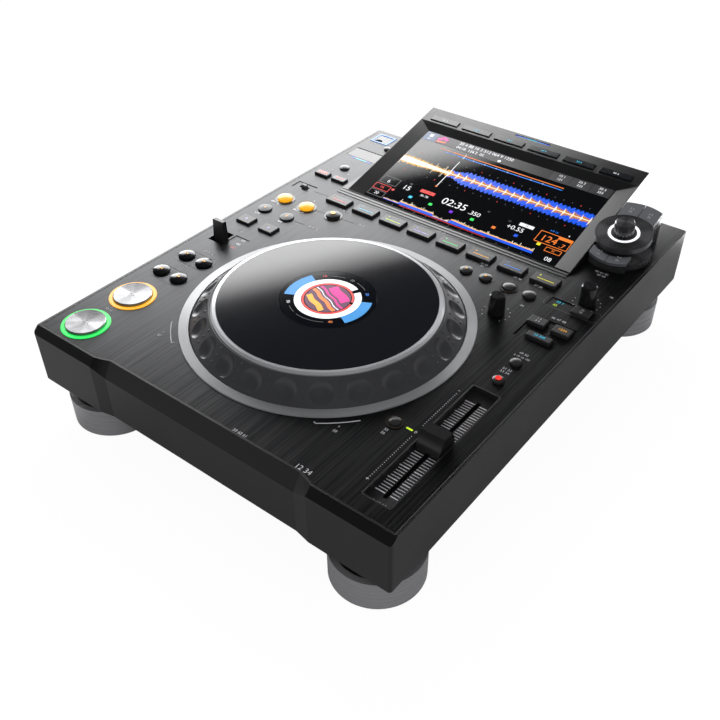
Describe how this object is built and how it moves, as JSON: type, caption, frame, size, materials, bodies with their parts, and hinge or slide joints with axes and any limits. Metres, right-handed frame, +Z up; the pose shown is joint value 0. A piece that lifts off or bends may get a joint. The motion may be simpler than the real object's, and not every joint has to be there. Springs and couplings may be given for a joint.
{
  "type": "tabletop media player",
  "caption": "Flat tabletop music player with a large jog wheel, a tilted colour screen, rows of push buttons, a long tempo slider and a push-and-turn selector, on round feet.",
  "frame": {"origin": "on the floor, under the middle of the whole bounding box", "axes": "+X to the right as the user faces the player, +Y to the back where the screen is, +Z up"},
  "size_m": [0.329, 0.453, 0.118],
  "materials": {
    "black_paint": "satin black paint",
    "deck_metal": "brushed, dark anodised",
    "bright_metal": "polished and anodised",
    "foot_metal": "brushed",
    "screw_metal": "dark zinc",
    "foot_rubber": "matt black",
    "black_plastic": "fine matt black",
    "rim_plastic": "satin dark grey",
    "gloss_black": "gloss black",
    "plate_gloss": "gloss, blue-black",
    "display_glass": "gloss display glass",
    "button_grey": "satin grey",
    "button_dark": "satin dark grey",
    "cap_metal": "radially brushed",
    "clear_ring": "clear, lit",
    "amber_bezel": "clear amber, lit",
    "port_frame": "clear blue, lit",
    "cover_grey": "satin grey",
    "socket_black": "semi-gloss black",
    "board_green": "solder resist",
    "inner_plastic": "matt",
    "red_button": "clear red, lit"
  },
  "bodies": {
    "casing": {"bottom_plate": "black_paint", "case_screws": "screw_metal", "cabinet": "black_paint", "top_panel": "deck_metal", "foot_rings": "foot_metal", "foot_cores": "foot_rubber", "jog_ring": "bright_metal", "jog_base": "inner_plastic", "jog_display": "display_glass", "light_rings": "clear_ring", "button_bezels": "amber_bezel", "tempo_tray_and_fader": "black_plastic", "card_reader": "inner_plastic", "usb_port": "port_frame", "screen_housing": "black_plastic", "display_module": "display_glass", "selector_base": "gloss_black", "rear_sockets": "socket_black", "main_board": "board_green", "power_supply": "board_green"},
    "jog_wheel": {"jog_rim": "rim_plastic", "jog_trim_ring": "bright_metal", "jog_top_plate": "plate_gloss"},
    "play_button": {"play_button": "cap_metal"},
    "cue_button": {"cue_button": "cap_metal"},
    "search_back_button": {"search_back_button": "button_dark"},
    "search_forward_button": {"search_forward_button": "button_dark"},
    "track_back_button": {"track_back_button": "button_dark"},
    "track_forward_button": {"track_forward_button": "button_dark"},
    "beat_jump_back_button": {"beat_jump_back_button": "button_dark"},
    "beat_jump_forward_button": {"beat_jump_forward_button": "button_dark"},
    "beat_loop_short_button": {"beat_loop_short_button": "button_dark"},
    "beat_loop_long_button": {"beat_loop_long_button": "button_dark"},
    "loop_in_button": {"loop_in_button": "button_dark"},
    "loop_out_button": {"loop_out_button": "button_dark"},
    "reloop_button": {"reloop_button": "button_dark"},
    "hot_cue_button_1": {"hot_cue_button_1": "button_dark"},
    "hot_cue_button_2": {"hot_cue_button_2": "button_dark"},
    "hot_cue_button_3": {"hot_cue_button_3": "button_dark"},
    "hot_cue_button_4": {"hot_cue_button_4": "button_dark"},
    "hot_cue_button_5": {"hot_cue_button_5": "button_dark"},
    "hot_cue_button_6": {"hot_cue_button_6": "button_dark"},
    "hot_cue_button_7": {"hot_cue_button_7": "button_dark"},
    "hot_cue_button_8": {"hot_cue_button_8": "button_dark"},
    "sync_buttons": {"sync_buttons": "button_dark"},
    "memory_buttons": {"memory_buttons": "button_dark"},
    "tempo_buttons": {"tempo_buttons": "button_dark"},
    "mode_buttons": {"mode_buttons": "red_button"},
    "screen_buttons": {"screen_buttons": "button_dark"},
    "selector_buttons": {"selector_buttons": "button_dark"},
    "selector_shaft": {"selector_shaft": "screw_metal"},
    "selector_knob": {"selector_knob": "black_plastic"},
    "jog_adjust_knob": {"jog_adjust_knob": "black_plastic"},
    "speed_knob": {"speed_knob": "black_plastic"},
    "direction_lever": {"direction_lever": "button_dark"},
    "tempo_slider": {"tempo_slider": "black_plastic"},
    "lock_switch": {"lock_switch": "button_grey"},
    "card_door": {"card_door": "black_plastic"},
    "usb_cover": {"usb_cover": "cover_grey"},
    "power_switch": {"power_switch": "black_plastic"}
  },
  "joints": [
    {"name": "jog_spin", "type": "hinge", "parent": "casing", "child": "jog_wheel", "pos_m": [0, -0.083, 0.085], "axis": [0, 0, 1], "continuous": true},
    {"name": "tempo_slide", "type": "slide", "parent": "casing", "child": "tempo_slider", "axis": [0, 1, 0], "range_m": [-0.05, 0.05]},
    {"name": "direction_lever_tip", "type": "hinge", "parent": "casing", "child": "direction_lever", "pos_m": [-0.1446, -0.0504, 0.071], "axis": [1, 0, 0], "range_deg": [-16, 16]},
    {"name": "card_door_hinge", "type": "hinge", "parent": "casing", "child": "card_door", "pos_m": [-0.138, 0.15135, 0.0835], "axis": [-1, 0, 0], "range_deg": [0, 80]},
    {"name": "usb_cover_hinge", "type": "hinge", "parent": "casing", "child": "usb_cover", "pos_m": [-0.147, 0.1876, 0.0841], "axis": [-1, 0, 0], "range_deg": [0, 80]},
    {"name": "power_switch_rock", "type": "hinge", "parent": "casing", "child": "power_switch", "pos_m": [-0.078, 0.1958, 0.058], "axis": [1, 0, 0], "range_deg": [0, 12]},
    {"name": "lock_switch_slide", "type": "slide", "parent": "casing", "child": "lock_switch", "axis": [1, 0, 0], "range_m": [-0.002, 0.002]},
    {"name": "jog_adjust_knob_turn", "type": "hinge", "parent": "casing", "child": "jog_adjust_knob", "pos_m": [0.0966, -0.0026, 0.085], "axis": [0, 0, 1], "range_deg": [-140, 140]},
    {"name": "speed_knob_turn", "type": "hinge", "parent": "casing", "child": "speed_knob", "pos_m": [0.1452, 0.0496, 0.085], "axis": [0, 0, 1], "range_deg": [-140, 140]},
    {"name": "selector_shaft_press", "type": "slide", "parent": "casing", "child": "selector_shaft", "axis": [0, -0.1736, 0.9848], "range_m": [-0.001, 0], "stiffness_N_per_m": 200, "springref_m": 0.002},
    {"name": "selector_turn", "type": "hinge", "parent": "selector_shaft", "child": "selector_knob", "pos_m": [0.1343, 0.13, 0.105], "axis": [0, -0.1736, 0.9848], "continuous": true},
    {"name": "play_button_press", "type": "slide", "parent": "casing", "child": "play_button", "axis": [0, 0, 1], "range_m": [-0.001, 0], "stiffness_N_per_m": 200, "springref_m": 0.002},
    {"name": "cue_button_press", "type": "slide", "parent": "casing", "child": "cue_button", "axis": [0, 0, 1], "range_m": [-0.001, 0], "stiffness_N_per_m": 200, "springref_m": 0.002},
    {"name": "search_back_button_press", "type": "slide", "parent": "casing", "child": "search_back_button", "axis": [0, 0, 1], "range_m": [-0.001, 0], "stiffness_N_per_m": 200, "springref_m": 0.002},
    {"name": "search_forward_button_press", "type": "slide", "parent": "casing", "child": "search_forward_button", "axis": [0, 0, 1], "range_m": [-0.001, 0], "stiffness_N_per_m": 200, "springref_m": 0.002},
    {"name": "track_back_button_press", "type": "slide", "parent": "casing", "child": "track_back_button", "axis": [0, 0, 1], "range_m": [-0.001, 0], "stiffness_N_per_m": 200, "springref_m": 0.002},
    {"name": "track_forward_button_press", "type": "slide", "parent": "casing", "child": "track_forward_button", "axis": [0, 0, 1], "range_m": [-0.001, 0], "stiffness_N_per_m": 200, "springref_m": 0.002},
    {"name": "beat_jump_back_button_press", "type": "slide", "parent": "casing", "child": "beat_jump_back_button", "axis": [0, 0, 1], "range_m": [-0.001, 0], "stiffness_N_per_m": 200, "springref_m": 0.002},
    {"name": "beat_jump_forward_button_press", "type": "slide", "parent": "casing", "child": "beat_jump_forward_button", "axis": [0, 0, 1], "range_m": [-0.001, 0], "stiffness_N_per_m": 200, "springref_m": 0.002},
    {"name": "beat_loop_short_button_press", "type": "slide", "parent": "casing", "child": "beat_loop_short_button", "axis": [0, 0, 1], "range_m": [-0.001, 0], "stiffness_N_per_m": 200, "springref_m": 0.002},
    {"name": "beat_loop_long_button_press", "type": "slide", "parent": "casing", "child": "beat_loop_long_button", "axis": [0, 0, 1], "range_m": [-0.001, 0], "stiffness_N_per_m": 200, "springref_m": 0.002},
    {"name": "loop_in_button_press", "type": "slide", "parent": "casing", "child": "loop_in_button", "axis": [0, 0, 1], "range_m": [-0.001, 0], "stiffness_N_per_m": 200, "springref_m": 0.002},
    {"name": "loop_out_button_press", "type": "slide", "parent": "casing", "child": "loop_out_button", "axis": [0, 0, 1], "range_m": [-0.001, 0], "stiffness_N_per_m": 200, "springref_m": 0.002},
    {"name": "reloop_button_press", "type": "slide", "parent": "casing", "child": "reloop_button", "axis": [0, 0, 1], "range_m": [-0.001, 0], "stiffness_N_per_m": 200, "springref_m": 0.002},
    {"name": "hot_cue_button_1_press", "type": "slide", "parent": "casing", "child": "hot_cue_button_1", "axis": [0, 0, 1], "range_m": [-0.001, 0], "stiffness_N_per_m": 200, "springref_m": 0.002},
    {"name": "hot_cue_button_2_press", "type": "slide", "parent": "casing", "child": "hot_cue_button_2", "axis": [0, 0, 1], "range_m": [-0.001, 0], "stiffness_N_per_m": 200, "springref_m": 0.002},
    {"name": "hot_cue_button_3_press", "type": "slide", "parent": "casing", "child": "hot_cue_button_3", "axis": [0, 0, 1], "range_m": [-0.001, 0], "stiffness_N_per_m": 200, "springref_m": 0.002},
    {"name": "hot_cue_button_4_press", "type": "slide", "parent": "casing", "child": "hot_cue_button_4", "axis": [0, 0, 1], "range_m": [-0.001, 0], "stiffness_N_per_m": 200, "springref_m": 0.002},
    {"name": "hot_cue_button_5_press", "type": "slide", "parent": "casing", "child": "hot_cue_button_5", "axis": [0, 0, 1], "range_m": [-0.001, 0], "stiffness_N_per_m": 200, "springref_m": 0.002},
    {"name": "hot_cue_button_6_press", "type": "slide", "parent": "casing", "child": "hot_cue_button_6", "axis": [0, 0, 1], "range_m": [-0.001, 0], "stiffness_N_per_m": 200, "springref_m": 0.002},
    {"name": "hot_cue_button_7_press", "type": "slide", "parent": "casing", "child": "hot_cue_button_7", "axis": [0, 0, 1], "range_m": [-0.001, 0], "stiffness_N_per_m": 200, "springref_m": 0.002},
    {"name": "hot_cue_button_8_press", "type": "slide", "parent": "casing", "child": "hot_cue_button_8", "axis": [0, 0, 1], "range_m": [-0.001, 0], "stiffness_N_per_m": 200, "springref_m": 0.002},
    {"name": "sync_buttons_press", "type": "slide", "parent": "casing", "child": "sync_buttons", "axis": [0, 0, 1], "range_m": [-0.001, 0], "stiffness_N_per_m": 200, "springref_m": 0.002},
    {"name": "memory_buttons_press", "type": "slide", "parent": "casing", "child": "memory_buttons", "axis": [0, 0, 1], "range_m": [-0.001, 0], "stiffness_N_per_m": 200, "springref_m": 0.002},
    {"name": "tempo_buttons_press", "type": "slide", "parent": "casing", "child": "tempo_buttons", "axis": [0, 0, 1], "range_m": [-0.001, 0], "stiffness_N_per_m": 200, "springref_m": 0.002},
    {"name": "mode_buttons_press", "type": "slide", "parent": "casing", "child": "mode_buttons", "axis": [0, 0, 1], "range_m": [-0.001, 0], "stiffness_N_per_m": 200, "springref_m": 0.002},
    {"name": "screen_buttons_press", "type": "slide", "parent": "casing", "child": "screen_buttons", "axis": [0, -0.2272, 0.9739], "range_m": [-0.001, 0], "stiffness_N_per_m": 200, "springref_m": 0.002},
    {"name": "selector_buttons_press", "type": "slide", "parent": "casing", "child": "selector_buttons", "axis": [0, -0.2487, 0.9686], "range_m": [-0.0008, 0], "stiffness_N_per_m": 200, "springref_m": 0.002}
  ]
}
